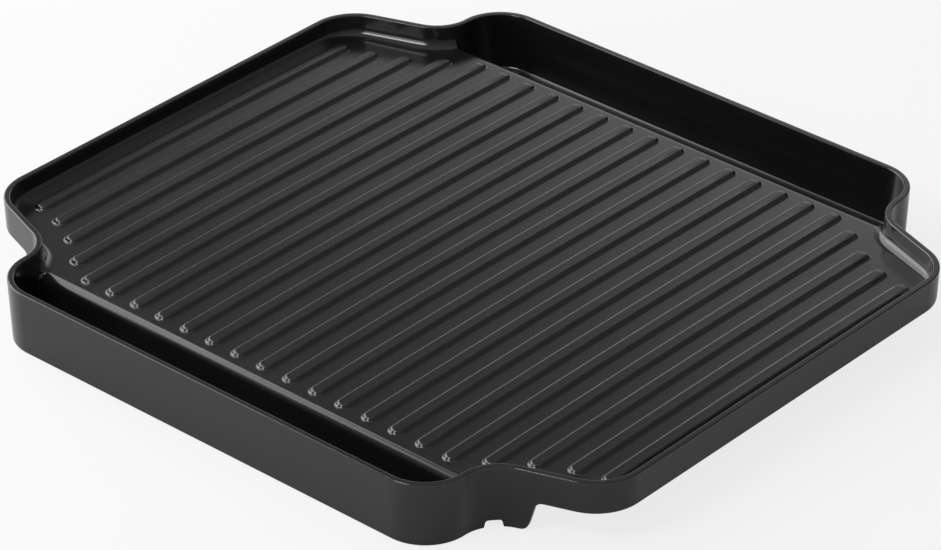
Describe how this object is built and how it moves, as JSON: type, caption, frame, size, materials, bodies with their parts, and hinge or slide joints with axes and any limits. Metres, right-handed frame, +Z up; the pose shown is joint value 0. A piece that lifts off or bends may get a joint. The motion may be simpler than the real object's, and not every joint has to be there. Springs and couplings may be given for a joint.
{
  "type": "camp griddle plate",
  "caption": "Rectangular ribbed griddle plate with a low rim, slanted corners and a deep grease trough along each end, in black coated cast metal.",
  "frame": {"origin": "under the middle of the plate, level with the flat bottoms of the two troughs", "axes": "+X along the ribs towards the rear trough, +Y across the ribs towards the left side wall, +Z up"},
  "size_m": [0.313, 0.3358, 0.0283],
  "materials": {
    "coated_casting": "satin black non-stick coat over a die casting"
  },
  "bodies": {
    "root": {"deck": "coated_casting", "front_trough": "coated_casting", "rear_trough": "coated_casting", "left_side_wall": "coated_casting", "right_side_wall": "coated_casting", "front_left_corner": "coated_casting", "front_right_corner": "coated_casting", "rear_left_corner": "coated_casting", "rear_right_corner": "coated_casting", "rib_01": "coated_casting", "rib_02": "coated_casting", "rib_03": "coated_casting", "rib_04": "coated_casting", "rib_05": "coated_casting", "rib_06": "coated_casting", "rib_07": "coated_casting", "rib_08": "coated_casting", "rib_09": "coated_casting", "rib_10": "coated_casting", "rib_11": "coated_casting", "rib_12": "coated_casting", "rib_13": "coated_casting", "rib_14": "coated_casting", "rib_15": "coated_casting", "rib_16": "coated_casting", "rib_17": "coated_casting", "rib_18": "coated_casting", "rib_19": "coated_casting", "rib_20": "coated_casting", "rib_21": "coated_casting", "rib_22": "coated_casting", "rib_23": "coated_casting"}
  },
  "joints": []
}
